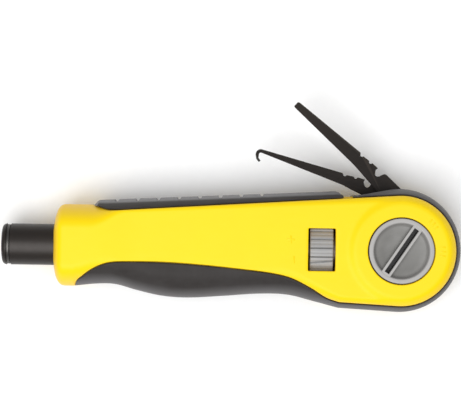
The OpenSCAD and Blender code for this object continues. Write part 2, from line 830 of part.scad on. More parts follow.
module hook_blade() {
    hook_y = 0.2;
    color([0.2, 0.18, 0.16])
        fold_blade(-blade_z - blade_t, hook_open, concat(
            back_edge,
            [[-35.5, 3.7], [-hook_l + 2.3, 2.8]],
            arc([-hook_l + 2, hook_y + 0.6], 2, 95, 200, 6),
            [[-hook_l + 0.9, -1.4], [-hook_l + 2.2, -2.3], [-hook_l + 2.7, -1.6], [-hook_l + 1.6, -0.8]],
            arc([-hook_l + 2.1, hook_y + 0.5], 0.8, 200, 80, 4),
            [[-44, 0.8], [-27.3, 0.04], [-21.4, -0.4], [-17.8, -1.1], [-11.8, -1.9], [-7, -2.4]],
            arc([0, 0], root_r, 212, 445, 24)
        ));
}

module pivot_pin() {
    color("gray")
        translate([pivot_x, pivot_y, -pin_half])
            cylinder(h = 2 * pin_half, r = pivot_r);
}

module blade_washers() {
    color("silver")
        for (z = [-slot_half, -washer_t / 2, slot_half - washer_t])
            translate([pivot_x, pivot_y, z])
                difference() {
                    cylinder(h = washer_t, r = washer_r);
                    translate([0, 0, -1])
                        cylinder(h = 2, r = pivot_r + fit_gap);
                }
}

// ---- Storage for spare blades ----

module ring_sector(r_in, r_out, h, from, to) {
    rotate(from)
        rotate_extrude(angle = to - from)
            translate([r_in, 0])
                square([r_out - r_in, h]);
}

module storage_cup() {
    color([0.25, 0.25, 0.25])
        translate([head_x, 0, 0])
            difference() {
                translate([0, 0, cup_floor - cup_base])
                    cylinder(h = cup_top - cup_floor + cup_base, r = cup_out);
                translate([0, 0, cup_floor])
                    cylinder(h = far, r = cup_r);
                for (s = [0, 180]) {
                    translate([0, 0, lug_z - 0.15])
                        ring_sector(cup_r - 1, cup_r + lug_out, lug_h + 0.3,
                            s - lug_arc / 2 - 2, s + lid_angle + lug_arc / 2 + 2);
                    translate([0, 0, lug_z])
                        ring_sector(cup_r - 1, cup_r + lug_out, far,
                            s - lug_arc / 2 - 2, s + lug_arc / 2 + 2);
                }
            }
}

module storage_lid() {
    color([0.68, 0.67, 0.66])
        translate([head_x, 0, 0])
            rotate(lid_angle)
                difference() {
                    union() {
                        translate([0, 0, lid_disc_z])
                            difference() {
                                cylinder(h = lid_top - lid_disc_z, r = lid_r);
                                translate([0, 0, lid_top - lid_disc_z - dish_depth])
                                    cylinder(h = far, r = dish_r);
                            }
                        translate([0, 0, lid_disc_z - 2])
                            cylinder(h = lid_top - dish_depth - lid_disc_z + 2, r = cup_r - 2.5);
                        intersection() {
                            translate([-far, -bar_w / 2, lid_disc_z])
                                cube([2 * far, bar_w, lid_top - lid_disc_z]);
                            translate([0, 0, lid_disc_z])
                                cylinder(h = far, r = dish_r + 0.5);
                        }
                        translate([0, 0, hub_low])
                            difference() {
                                cylinder(h = lid_disc_z - hub_low + 0.1, r = hub_out);
                                translate([0, 0, -1])
                                    cylinder(h = lid_disc_z - hub_low - 1, r = hub_out - hub_wall);
                            }
                        for (s = [0, 180])
                            translate([0, 0, lug_z])
                                ring_sector(hub_out - 0.5, cup_r + lug_out - 0.15, lug_h,
                                    s - lug_arc / 2, s + lug_arc / 2);
                    }
                    translate([0, 0, seal_z])
                        rotate_extrude()
                            translate([hub_out, 0])
                                circle(seal_r + fit_gap, $fn = 24);
                    translate([-coin_l / 2, -coin_w / 2, lid_top - coin_depth])
                        cube([coin_l, coin_w, far]);
                }
}

module lid_seal() {
    color([0.1, 0.1, 0.1])
        translate([head_x, 0, seal_z])
            rotate_extrude()
                translate([hub_out, 0])
                    circle(seal_r, $fn = 24);
}

upper_shell();
lower_shell();
upper_grip();
lower_grip();
upper_spine_pad();
lower_spine_pad();
housing_screws();
nose_bushing();
guide_tube();
stop_pins();
trip_cam();
nose_barrel();
snap_ring();
blade_socket();
blade_plunger();
plunger_spring();
anvil();
anvil_spring();
hammer();
trip_latch();
latch_spring();
main_spring();
preload_screw();
force_wheel();
thrust_washer();
spudger_blade();
hook_blade();
pivot_pin();
blade_washers();
storage_cup();
storage_lid();
lid_seal();
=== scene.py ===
import json
import math
import bmesh
import bpy
import numpy as np
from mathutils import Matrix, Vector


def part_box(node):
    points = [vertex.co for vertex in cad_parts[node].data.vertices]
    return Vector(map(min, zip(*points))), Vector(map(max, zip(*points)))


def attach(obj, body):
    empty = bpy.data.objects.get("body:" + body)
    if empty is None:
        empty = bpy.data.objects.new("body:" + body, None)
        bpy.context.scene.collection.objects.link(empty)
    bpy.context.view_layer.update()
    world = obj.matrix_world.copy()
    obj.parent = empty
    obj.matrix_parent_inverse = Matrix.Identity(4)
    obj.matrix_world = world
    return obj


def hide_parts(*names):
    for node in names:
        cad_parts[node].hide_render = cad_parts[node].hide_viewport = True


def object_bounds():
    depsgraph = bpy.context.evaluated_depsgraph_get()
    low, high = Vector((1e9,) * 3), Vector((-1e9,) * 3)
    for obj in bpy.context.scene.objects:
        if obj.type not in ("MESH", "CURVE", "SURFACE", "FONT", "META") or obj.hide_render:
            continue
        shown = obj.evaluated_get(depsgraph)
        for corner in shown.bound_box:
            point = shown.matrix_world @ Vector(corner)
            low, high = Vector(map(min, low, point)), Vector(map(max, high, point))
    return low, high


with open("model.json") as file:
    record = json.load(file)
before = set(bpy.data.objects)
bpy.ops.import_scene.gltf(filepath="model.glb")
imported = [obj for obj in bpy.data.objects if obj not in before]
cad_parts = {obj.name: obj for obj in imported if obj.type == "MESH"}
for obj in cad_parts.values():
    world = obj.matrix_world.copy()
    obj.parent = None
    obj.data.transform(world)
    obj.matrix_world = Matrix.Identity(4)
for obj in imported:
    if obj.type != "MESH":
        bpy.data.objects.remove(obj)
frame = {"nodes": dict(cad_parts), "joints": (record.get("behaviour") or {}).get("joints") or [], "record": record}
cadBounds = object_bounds()
mm = 0.001
nodes = frame["nodes"]
print("frame loaded:", len(nodes), "nodes")


# Lowest and highest corners of a node's box, in millimetres like every place below
def boxOf(node):
    low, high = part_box(node)
    return np.array(low) / mm, np.array(high) / mm


# Radius of a node that is round about X: half its height
def radiusOf(node):
    low, high = boxOf(node)
    return (high[2] - low[2]) / 2


# A point on a joint's axis
def jointPlace(name):
    joint = next(j for j in frame["joints"] if j["name"] == name)
    return np.array(joint["pos_m"]) / mm


headX = jointPlace("lid_turn")[0]
pivot = jointPlace("spudger_fold")
ringLow, ringHigh = boxOf("snap_ring")
wheelLow, wheelHigh = boxOf("force_wheel")
lidLow, lidHigh = boxOf("storage_lid")


# Camera, light and floor
view = {
    "centre": (88.5, 15.6),     # the point straight under the camera, mm
    "height": 766.0,            # above the tool's middle plane, mm
    "turn": 0.97,               # the tool lies this much off level, degrees
    "width": 179.8,             # what the frame takes in at that plane, mm
    "sensor": 36.0,             # width of the camera's sensor, mm
}


# A camera straight above the tool: lens = sensor width * height / width taken in
def makeCamera():
    data = bpy.data.cameras.new("camera")
    data.sensor_width = view["sensor"]
    data.lens = view["sensor"] * view["height"] / view["width"]
    data.clip_start = 0.01
    camera = bpy.data.objects.new("camera", data)
    camera.location = (view["centre"][0] * mm, view["centre"][1] * mm, view["height"] * mm)
    camera.rotation_euler = (0, 0, math.radians(view["turn"]))
    bpy.context.scene.collection.objects.link(camera)
    bpy.context.scene.camera = camera


# Watts, and metres
light = {
    "mainPower": 7.7,
    "mainSize": 0.72,
    "mainPlace": (-0.06, -0.26, 0.83),
    "fillPower": 1.4,
    "fillSize": 0.8,
    "fillPlace": (0.3, 0.4, 0.9),
    "aim": (0.09, 0.0, 0.0),    # both lamps face this point
    "sky": 0.42,
}


# A square lamp turned to face the aim: it tips by the angle of the line between them from
# upright, towards that line's heading
def makeLamp(name, power, size, place):
    data = bpy.data.lights.new(name, "AREA")
    data.energy = power
    data.size = size
    lamp = bpy.data.objects.new(name, data)
    offset = np.array(place) - np.array(light["aim"])
    lamp.location = place
    lamp.rotation_euler = (math.atan2(math.hypot(offset[0], offset[1]), offset[2]), 0,
                           math.atan2(offset[0], -offset[1]))
    bpy.context.scene.collection.objects.link(lamp)


# A shader socket that arithmetic works on: each operator adds a Math node
class Value:
    def __init__(self, tree, socket):
        self.tree = tree
        self.socket = socket

    # One Math node on two numbers or values
    def math(self, operation, first, second=None, clamp=False):
        node = self.tree.nodes.new("ShaderNodeMath")
        node.operation = operation
        node.use_clamp = clamp
        for slot, value in zip(node.inputs, (first, second)):
            if isinstance(value, Value):
                self.tree.links.new(value.socket, slot)
            elif value is not None:
                slot.default_value = value
        return Value(self.tree, node.outputs[0])

    def __add__(self, other):
        return self.math("ADD", self, other)

    def __sub__(self, other):
        return self.math("SUBTRACT", self, other)

    def __rsub__(self, other):
        return self.math("SUBTRACT", other, self)

    def __mul__(self, other):
        return self.math("MULTIPLY", self, other)

    def __truediv__(self, other):
        return self.math("DIVIDE", self, other)

    # Held between 0 and 1
    def clamped(self):
        return self.math("ADD", self, 0.0, clamp=True)

    __radd__ = __add__
    __rmul__ = __mul__


# A material under construction
class Finish:
    def __init__(self, name):
        self.material = bpy.data.materials.new(name)
        self.material.use_nodes = True
        self.tree = self.material.node_tree
        self.tree.nodes.clear()
        self.place = self.add("ShaderNodeTexCoord", {}, {}, "Object")

    # Any node, from its type, its settings and the numbers or values of its sockets
    def add(self, kind, settings, sockets, output=0):
        node = self.tree.nodes.new(kind)
        for key, value in settings.items():
            setattr(node, key, value)
        for key, value in sockets.items():
            if isinstance(value, Value):
                self.tree.links.new(value.socket, node.inputs[key])
            else:
                node.inputs[key].default_value = value
        return Value(self.tree, node.outputs[output])

    # Noise between 0 and 1, with blotches of a size in millimetres
    def noise(self, size, detail=2.0, stretch=(1, 1, 1), roughness=0.5):
        spot = self.add("ShaderNodeMapping", {}, {"Vector": self.place, "Scale": stretch})
        return self.add("ShaderNodeTexNoise", {}, {
            "Vector": spot, "Scale": 1 / (size * mm), "Detail": detail, "Roughness": roughness})

    # From 0 at one value to 1 at another, and held there beyond
    def ramp(self, value, low, high):
        return self.add("ShaderNodeMapRange", {}, {0: value, 1: low, 2: high, 3: 0.0, 4: 1.0})

    # A coordinate of the piece in millimetres
    def along(self, axis):
        return self.add("ShaderNodeSeparateXYZ", {}, {"Vector": self.place}, axis) / mm

    # Convex edges, where handling rubs a finish
    def edges(self, low, high):
        return self.ramp(self.add("ShaderNodeNewGeometry", {}, {}, "Pointiness"), low, high)

    # The first colour where the share is 0, the second where it is 1
    def mixColour(self, share, first, second):
        return self.add("ShaderNodeMix", {"data_type": "RGBA"}, {0: share, 6: first, 7: second}, 2)

    # How far the surface leans from the side faces: 1 - the upright part of its normal, as a ramp
    def lean(self, low, high):
        normal = self.add("ShaderNodeNewGeometry", {}, {}, "Normal")
        upright = self.add("ShaderNodeSeparateXYZ", {}, {"Vector": normal}, "Z")
        return self.ramp(1 - upright.math("ABSOLUTE", upright), low, high)

    # A normal from a height: depth is in millimetres where the height is 1
    def bump(self, height, depth, strength=1.0):
        return self.add("ShaderNodeBump", {}, {
            "Height": height, "Distance": depth * mm, "Strength": strength})

    # The shader with its sockets filled, and the finished material
    def done(self, **sockets):
        named = {key.replace("_", " "): value for key, value in sockets.items()}
        shader = self.add("ShaderNodeBsdfPrincipled", {}, named)
        output = self.tree.nodes.new("ShaderNodeOutputMaterial")
        self.tree.links.new(shader.socket, output.inputs["Surface"])
        return self.material


# A screen colour of 0 to 255 as the linear colour that a shader takes
def rgb(red, green, blue):
    parts = np.array([red, green, blue]) / 255
    linear = np.where(parts <= 0.04045, parts / 12.92, ((parts + 0.055) / 1.055) ** 2.4)
    return (*linear.tolist(), 1.0)


# Finishes
# edge: the colour of a painted reflection and shade on the surfaces that lean over to an edge
yellowPlastic = {"colour": rgb(240, 210, 0), "deep": rgb(238, 202, 0), "edge": rgb(255, 202, 62),
                 "roughness": 0.42, "grain": 0.22}


# Yellow plastic: clouds of two yellows, tinted pale orange by a painted reflection and shade where
# the surface leans over to an edge, with smears in the gloss and a fine grain
def makeYellow():
    f = Finish("yellow_housing")
    cloud = f.noise(14, 3)
    grain = f.noise(yellowPlastic["grain"], 2)
    smear = f.noise(5, 4, (1, 2.5, 1))
    flat = f.mixColour(cloud * 0.5, yellowPlastic["colour"], yellowPlastic["deep"])
    return f.done(
        # painted reflection and shade: the edge colour where the surface leans away
        Base_Color=f.mixColour(f.lean(0.1, 0.8) * 0.65, flat, yellowPlastic["edge"]),
        Roughness=yellowPlastic["roughness"] + 0.10 * (smear - 0.5) + 0.06 * (grain - 0.5),
        Normal=f.bump(grain, 0.012, 0.6), IOR=1.49, Specular_IOR_Level=0.22)


# pale: the colour of the dust and of a painted sheen; lean: where the painted sheen comes in on the rim
softRubber = {"colour": rgb(30, 25, 22), "pale": rgb(108, 106, 107), "roughness": 0.62, "grain": 0.35,
              "dust": 0.12, "lean": (0.28, 0.93)}


# Rubber: dark, and paler by its dust and clouds, and by a painted sheen where the surface leans out to its rim
def makeRubber(name, look, depth):
    f = Finish(name)
    cloud = f.noise(9, 3)
    grain = f.noise(look["grain"], 2, roughness=0.6)
    dust = f.noise(2.2, 5)
    # real dust and clouds, plus a painted sheen on the surfaces that lean out to the rim
    paleShare = (look["dust"] * (cloud + dust) + f.lean(*look["lean"])).clamped()
    return f.done(
        Base_Color=f.mixColour(paleShare, look["colour"], look["pale"]),
        Roughness=look["roughness"] + 0.14 * (dust - 0.5),
        Normal=f.bump(grain, depth, 0.8), IOR=1.5, Specular_IOR_Level=0.25)


# On the spine pad the painted sheen comes in sharply, as a pale strip along its top
spineRubber = {"colour": rgb(40, 35, 31), "pale": rgb(128, 127, 128), "roughness": 0.58, "grain": 0.3,
               "dust": 0.08, "lean": (0.62, 0.74)}
sealRubber = {"colour": rgb(40, 40, 40), "pale": rgb(58, 58, 58), "roughness": 0.5, "grain": 0.4,
              "dust": 0.2, "lean": (0.4, 1.4)}
# floor: the colour of painted shade in the lid's dish; slot: that of a painted shadow in its coin slot
greyPlastic = {"colour": rgb(154, 154, 154), "deep": rgb(142, 142, 142), "roughness": 0.42,
               "lid": rgb(160, 158, 156), "floor": rgb(108, 107, 104), "slot": rgb(6, 5, 5)}


# Grey plastic: clouds of two greys. The lid is lighter, with painted shade that darkens its dish from 0.5 to 3
# below the top, and a painted shadow that makes its coin slot nearly black
def makeGreyPlastic():
    f = Finish("grey_plastic")
    cloud = f.noise(6, 3)
    grain = f.noise(0.18, 2)
    onLid, sunk = f.ramp(f.along("X"), lidLow[0] - 1, lidLow[0]), lidHigh[2] - f.along("Z")
    face = f.mixColour(cloud, greyPlastic["colour"], greyPlastic["deep"])
    face = f.mixColour(onLid * (1.1 - 0.3 * cloud), face, greyPlastic["lid"])
    # painted shade, deeper down in the lid's dish
    dish = f.mixColour(f.ramp(sunk, 0.5, 3.0) * onLid * (0.8 + 0.4 * cloud), face, greyPlastic["floor"])
    # painted shadow, nearly black down in the coin slot
    return f.done(
        Base_Color=f.mixColour(f.ramp(sunk, 3.6, 4.6) * onLid, dish, greyPlastic["slot"]),
        Roughness=greyPlastic["roughness"] + 0.12 * (grain - 0.5) + 0.08 * (cloud - 0.5),
        Normal=f.bump(grain, 0.008, 0.6), IOR=1.49)


blackOxide = {"colour": rgb(22, 16, 12), "worn": rgb(56, 50, 45), "roughness": 0.6, "metal": 0.1,
              "gloss": 0.22}


# Blackened steel: streaks along the brushing, and edges worn paler and more metallic
def makeBlackOxide(name, look, brush):
    f = Finish(name)
    streak = f.noise(0.5, 3, brush)
    cloud = f.noise(4, 4)
    paleShare = (f.edges(0.52, 0.58) * (0.35 + 0.5 * cloud)).clamped()
    return f.done(
        Base_Color=f.mixColour(paleShare, look["colour"], look["worn"]),
        Metallic=look["metal"] + 0.3 * paleShare,
        Roughness=look["roughness"] + 0.16 * (streak - 0.5) + 0.10 * (cloud - 0.5),
        Normal=f.bump(streak, 0.006, 0.5), Specular_IOR_Level=look["gloss"])


barrelOxide = {"colour": rgb(38, 33, 30), "worn": rgb(96, 91, 87), "roughness": 0.42, "metal": 0.4,
               "gloss": 0.45}
socketOxide = {"colour": rgb(74, 72, 70), "worn": rgb(120, 118, 115), "roughness": 0.36, "metal": 0.8,
               "gloss": 0.5}


# Bare metal: streaks along the brushing, and stains that darken its colour
def makeSteel(name, colour, roughness, brush):
    f = Finish(name)
    streak = f.noise(0.35, 4, brush)
    stain = f.noise(6, 4)
    tone = tuple(0.82 * c for c in colour[:3]) + (1.0,)
    return f.done(
        Base_Color=f.mixColour(stain, colour, tone),
        Metallic=1.0,
        Roughness=roughness + 0.14 * (streak - 0.5) + 0.10 * (stain - 0.5),
        Normal=f.bump(streak, 0.004, 0.5))


# Dark plastic: clouds of two dark greys, with a fine grain
def makeDarkPlastic():
    f = Finish("dark_plastic")
    grain = f.noise(0.25, 2)
    cloud = f.noise(5, 3)
    return f.done(
        Base_Color=f.mixColour(cloud, rgb(58, 58, 58), rgb(70, 70, 70)),
        Roughness=0.5 + 0.12 * (grain - 0.5),
        Normal=f.bump(grain, 0.01, 0.5))


finishes = {
    "yellow_housing": makeYellow(),
    "soft_grip": makeRubber("soft_grip", softRubber, 0.02),
    "spine_pad": makeRubber("spine_pad", spineRubber, 0.015),
    "seal_rubber": makeRubber("seal_rubber", sealRubber, 0.01),
    "grey_plastic": makeGreyPlastic(),
    "black_blade": makeBlackOxide("black_blade", blackOxide, (0.25, 1, 1)),
    "black_barrel": makeBlackOxide("black_barrel", barrelOxide, (3, 0.4, 0.4)),
    "dark_steel": makeBlackOxide("dark_steel", socketOxide, (2, 0.5, 0.5)),
    "plain_steel": makeSteel("plain_steel", rgb(120, 112, 104), 0.5, (0.3, 1, 1)),
    "spring_steel": makeSteel("spring_steel", rgb(176, 176, 178), 0.3, (1, 1, 1)),
    "zinc_steel": makeSteel("zinc_steel", rgb(188, 188, 186), 0.36, (1, 1, 0.3)),
    "bushing_brass": makeSteel("bushing_brass", rgb(205, 170, 95), 0.34, (2, 0.5, 0.5)),
    "dark_plastic": makeDarkPlastic(),
}
slotOf = {s["node"]: s["material_slot"] for s in frame["record"]["subparts"]}
for name, thing in nodes.items():
    thing.data.materials.clear()
    thing.data.materials.append(finishes[slotOf[name]])
print("finishes made:", len(finishes))


# A mesh object from millimetre points and faces, joined from any number of (points, faces) shapes
def meshObject(name, shapes, finish, body, replaced=(), smooth=32):
    points, faces, start = [], [], 0
    for shapePoints, shapeFaces in shapes:
        points.append(shapePoints.reshape(-1, 3))
        faces.extend((f + start).tolist() for f in shapeFaces)
        start += len(points[-1])
    data = bpy.data.meshes.new(name)
    data.from_pydata(np.concatenate(points) * mm, [], [row for block in faces for row in block])
    tidyMesh(data, smooth)
    piece = bpy.data.objects.new(name, data)
    data.materials.append(finishes[finish])
    bpy.context.scene.collection.objects.link(piece)
    if body:
        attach(piece, body)
        if replaced:
            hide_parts(*replaced)
    return piece


# Doubles merged, faces turned outwards, smooth except at edges sharper than the angle
def tidyMesh(data, smooth, gap=1e-6):
    work = bmesh.new()
    work.from_mesh(data)
    bmesh.ops.remove_doubles(work, verts=work.verts, dist=gap)
    bmesh.ops.dissolve_degenerate(work, dist=gap / 2, edges=work.edges)
    bmesh.ops.recalc_face_normals(work, faces=work.faces)
    work.to_mesh(data)
    work.free()
    data.shade_smooth()
    data.set_sharp_from_angle(angle=math.radians(smooth))


# Faces of a grid whose every row is a closed ring; with loop, the last row joins the first
def gridFaces(rows, columns, loop=False):
    r, c = np.meshgrid(np.arange(rows if loop else rows - 1), np.arange(columns), indexing="ij")
    r2, c2 = (r + 1) % rows, (c + 1) % columns
    corners = [r * columns + c, r * columns + c2, r2 * columns + c2, r2 * columns + c]
    return np.stack(corners, -1).reshape(-1, 4)


# A closed solid from rings of equal length, its two ends filled
def loft(rings):
    rows, columns = rings.shape[:2]
    ends = [np.arange(columns)[None, ::-1], np.arange(columns)[None] + (rows - 1) * columns]
    return rings.reshape(-1, 3), [gridFaces(rows, columns)] + ends


# A profile of (radius, height) pairs turned round an axis through a centre, and an open profile's
# ends filled: a point is at radius * cos(turn), radius * sin(turn), height
def turned(profile, centre, axis, steps=128):
    profile = np.asarray(profile, float)
    turn = np.arange(steps) * 2 * np.pi / steps
    r, h = profile[:, 0][:, None], profile[:, 1][:, None] + 0 * turn
    first, second = r * np.cos(turn), r * np.sin(turn)
    parts = (h, first, second) if axis == "x" else (first, second, h)
    points = np.stack(parts, -1) + np.asarray(centre, float)
    rows = len(profile)
    faces = [gridFaces(rows, steps)]
    if not np.allclose(profile[0], profile[-1]):
        faces += [np.arange(steps)[None, ::-1], np.arange(steps)[None] + (rows - 1) * steps]
    return points, faces


# A profile's corners rounded off: from (x, y, radius), each is a quadratic curve that starts and
# ends a radius away from the corner
def rounded(corners, steps=6):
    out = []
    for i, (x, y, radius) in enumerate(corners):
        here = np.array([x, y], float)
        before = np.array(corners[i - 1][:2], float) - here
        after = np.array(corners[(i + 1) % len(corners)][:2], float) - here
        if radius <= 0:
            out.append(here)
            continue
        before, after = before / np.linalg.norm(before), after / np.linalg.norm(after)
        t = np.linspace(0, 1, steps + 1)[:, None]
        start, end = here + before * radius, here + after * radius
        out.extend((1 - t) ** 2 * start + 2 * t * (1 - t) * here + t ** 2 * end)
    return np.array(out)


# Shapes cut out of a piece, or joined to it
def cutOut(piece, shapes, smooth=32, operation="DIFFERENCE"):
    cutter = meshObject("cutter", shapes, "yellow_housing", None)
    change = piece.modifiers.new("cut", "BOOLEAN")
    change.operation = operation
    change.solver = "EXACT"
    change.object = cutter
    shown = piece.evaluated_get(bpy.context.evaluated_depsgraph_get())
    result = bpy.data.meshes.new_from_object(shown)
    piece.modifiers.clear()
    piece.data = result
    bpy.data.objects.remove(cutter)
    result.shade_smooth()
    result.set_sharp_from_angle(angle=math.radians(smooth))


# A copy of a CAD node with its loose triangles joined and its sharp edges slightly rounded
def softened(node, body, width, finish, smooth=32):
    data = nodes[node].data.copy()
    data.name = node + "_soft"
    work = bmesh.new()
    work.from_mesh(data)
    bmesh.ops.remove_doubles(work, verts=work.verts, dist=2e-6)
    bmesh.ops.dissolve_limit(work, angle_limit=math.radians(1.5), verts=work.verts, edges=work.edges)
    work.to_mesh(data)
    work.free()
    data.materials.clear()
    data.materials.append(finishes[finish])
    piece = bpy.data.objects.new(node + "_piece", data)
    bpy.context.scene.collection.objects.link(piece)
    bevel = piece.modifiers.new("edges", "BEVEL")
    bevel.width = width * mm
    bevel.segments = 2
    bevel.limit_method = "ANGLE"
    bevel.angle_limit = math.radians(35)
    data.shade_smooth()
    data.set_sharp_from_angle(angle=math.radians(smooth))
    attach(piece, body)
    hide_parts(node)


# Housing: the shared shape of the shells and of their soft covering
housing = {
    "noseX": boxOf("upper_shell")[0][0],    # where the nose face starts
    "noseRound": 5.0,                       # length of the nose's rounded corner
    "headRadius": boxOf("upper_grip")[1][0] - headX,
    "collarHeight": 15.9,           # half height of the collar behind the nose
    "collarZ": -boxOf("lower_shell")[0][2],     # half thickness at the collar and the disc
    "handleZ": 14.0,                # half thickness of the handle
    "collarEnd": 12.0, "collarFade": 22.0,      # from the nose, and the run down to the handle
    "discRadius": 19.2, "discFade": 3.6,        # the raised disc round the lid
    "collarRound": 9.0, "gripRound": 11.0, "headRound": 5.5,    # how side faces round off
    "skin": 2.2,                    # depth of the shells under the soft covering
    "panelInset": 2.8,              # width of the band round the head
    "edgeSlope": 3.1, "topSlope": 3.9, "bottomSlope": 2.9,      # degrees to the tool's axis
    "gap": 0.34,                    # dark line between a panel and the covering
    "lip": 0.42,                    # rounding of a panel's edge
    "joint": 0.14,                  # depth of the groove where the two halves meet
    "slotHalf": 1.95,               # half width of the slot that the blades fold into
    "slotDepth": 3.1,               # its floor, under the pivot
    "slotX": headX - 61.5,          # its front end
    "slotNeck": 4.3,                # from the pivot, where its floor meets the pocket
    "slotTop": 50.0,                # clear of the spine
    "openMost": 110.0,              # how far a blade swings, in degrees
    "stopRoom": 5.15, "stopLong": 30.0,     # the face that stops an open blade
    "pocket": 5.3,                  # radius of the pocket round the pivot
}
headR = housing["headRadius"]
panelR = headR - housing["panelInset"]
noseX = housing["noseX"]
collarH = housing["collarHeight"]
gripX = noseX + 8.5         # front tip of the grip
padX = noseX + 15.1         # front tip of the spine pad
padEnd = headX - 22.4
dipEnd = headX - 18.5       # front end of the band round the head
dipRamp = 16.0              # how long the band takes to sink there
bellyX = headX - 23.5       # where the belly's curve meets the straight line to the head
padLineX = padX + 10        # the same for the line under the pad


# A smooth step from 0 to 1: 3 t squared - 2 t cubed
def ease(t):
    t = np.clip(t, 0, 1)
    return t * t * (3 - 2 * t)


# a at 0, b at 1, and a straight line between
def mix(a, b, t):
    return a + (b - a) * t


# Height of a quarter circle: 0 and upright at 0, 1 and level at 1
def bulge(t):
    t = np.clip(t, 0, 1)
    return np.sqrt(t * (2 - t))


# A smooth curve through points: cubic pieces whose slope at a point is that between its neighbours
def through(points, x):
    px, py = np.array(points, float).T
    low, high = np.maximum(np.arange(len(px)) - 1, 0), np.minimum(np.arange(len(px)) + 1, len(px) - 1)
    slope = (py[high] - py[low]) / (px[high] - px[low])
    x = np.clip(x, px[0], px[-1])
    i = np.clip(np.searchsorted(px, x, side="right") - 1, 0, len(px) - 2)
    w = px[i + 1] - px[i]
    t = (x - px[i]) / w
    return ((2 * t ** 3 - 3 * t ** 2 + 1) * py[i] + (t ** 3 - 2 * t ** 2 + t) * w * slope[i]
            + (3 * t ** 2 - 2 * t ** 3) * py[i + 1] + (t ** 3 - t ** 2) * w * slope[i + 1])


# Height of a line that touches a circle round the head's centre, then of the circle itself
def roundEnd(x, radius, slope):
    slope = math.radians(slope)
    line = radius / math.cos(slope) - (headX - x) * math.tan(slope)
    circle = np.sqrt(np.maximum(0, radius ** 2 - (x - headX) ** 2))
    return np.where(x < headX - radius * math.sin(slope), line, circle)


# How much of the full section stands behind the nose face: a superellipse of power 3
def noseShare(x):
    return (1 - (1 - np.clip((x - noseX) / housing["noseRound"], 0, 1)) ** 3) ** (1 / 3)


# Outlines of belly, grip and pad: distance from the nose, then height
bellyLine = [(8, -collarH), (17, 1 - collarH), (24, 0.9 - collarH), (32.5, -1.3 - collarH),
             (42, -3.3 - collarH), (52, -3.9 - collarH), (66, -3 - collarH), (80, -1.9 - collarH),
             (91, -2.1 - collarH), (101, -4.4 - collarH),
             (bellyX - noseX, float(-roundEnd(np.array(bellyX), headR, housing["edgeSlope"])))]
gripLine = [(8.5, 0.4 - collarH), (9.6, -13.3), (11.5, -11.7), (14.3, -9.5), (18, -7.4), (22, -6.1),
            (27, -5.65), (42, -5.6), (57, -6.4), (72.5, -7.8), (84, -9.1), (92, -10.9), (99.6, -14.6),
            (105.8, -18.4),
            (bellyX - noseX, float(-roundEnd(np.array(bellyX), panelR, housing["bottomSlope"])))]
padLine = [(15.1, collarH - 0.3), (16.5, collarH - 0.7), (18.5, collarH - 1.3), (21.5, collarH - 2.1),
           (padLineX - noseX, float(roundEnd(np.array(padLineX), panelR, housing["topSlope"])))]


# Height of the spine: the collar's, stepping at the pad's front to the line over the head
def topEdge(x):
    rise = mix(collarH, roundEnd(x, headR, housing["edgeSlope"]), ease((x - padX) / 2.5))
    return noseShare(x) * np.where(x < padX, collarH, rise)


# Height of the spine as the shells' rounding sees it: the step at the pad's front is spread out
def crown(x):
    return noseShare(x) * mix(collarH, roundEnd(x, headR, housing["edgeSlope"]), ease((x - padX) / 13))


# Height of the belly: a curve through its points, then the line and circle under the head
def bottomEdge(x):
    return noseShare(x) * np.where(x < bellyX, through(bellyLine, x - noseX),
                                   -roundEnd(x, headR, housing["edgeSlope"]))


# Upper edge of the bare panel: the spine on the collar, then its line below the pad
def panelTop(x):
    handle = np.where(x < padLineX, through(padLine, x - noseX), roundEnd(x, panelR, housing["topSlope"]))
    return np.where(x < padX, topEdge(x), handle)


# Lower edge of the bare panel: the belly on the collar, then its line above the grip
def panelBottom(x):
    handle = np.where(x < bellyX, through(gripLine, x - noseX), -roundEnd(x, panelR, housing["bottomSlope"]))
    return np.where(x < gripX, bottomEdge(x), handle)


# Half thickness of a side face: eased from the collar down to the handle, and up to the disc
def faceHeight(x, y):
    run = (x - noseX - housing["collarEnd"]) / housing["collarFade"]
    along = mix(housing["collarZ"], housing["handleZ"], ease(run))
    fade = housing["discFade"]
    disc = ease((housing["discRadius"] + fade / 2 - np.hypot(x - headX, y)) / fade)
    return mix(along, housing["collarZ"], disc)


# Reach of the rounding towards the spine: the collar's, eased to the head's
def topRound(x):
    return mix(housing["collarRound"], housing["headRound"], ease((x - noseX - 14) / 14))


# Reach of the rounding towards the belly: the collar's, eased to the grip's and to the head's
def bottomRound(x):
    front = mix(housing["collarRound"], housing["gripRound"], ease((x - noseX - 8) / 12))
    return mix(front, housing["headRound"], ease((x - noseX - 88) / 26))


# Height of the side surface over the parting plane: the face, rounded off like a quarter
# ellipse towards both edges, sunk by a depth
def sideHeight(x, y, sunk=0.0, edge=topEdge):
    past = x > headX
    share = np.maximum(noseShare(x), 0.05)
    top = np.where(past, headR - sunk - np.hypot(x - headX, y), edge(x) - sunk - y)
    low = np.where(past, 1e3, y - bottomEdge(x) - sunk)
    return ((faceHeight(x, y) - sunk) * share * bulge(top / topRound(x) / share)
            * bulge(low / bottomRound(x) / share))


# The rounding of a panel's own edge: how far the surface drops within a lip of it
def lipDrop(distance, lip):
    t = np.clip(1 - distance / lip, 0, 1)
    return lip * (1 - np.sqrt(1 - t ** 2))


# Slope of an outline: its rise over a short step to each side
def railSlope(line, x, step=0.05):
    return (line(x + step) - line(x - step)) / (2 * step)


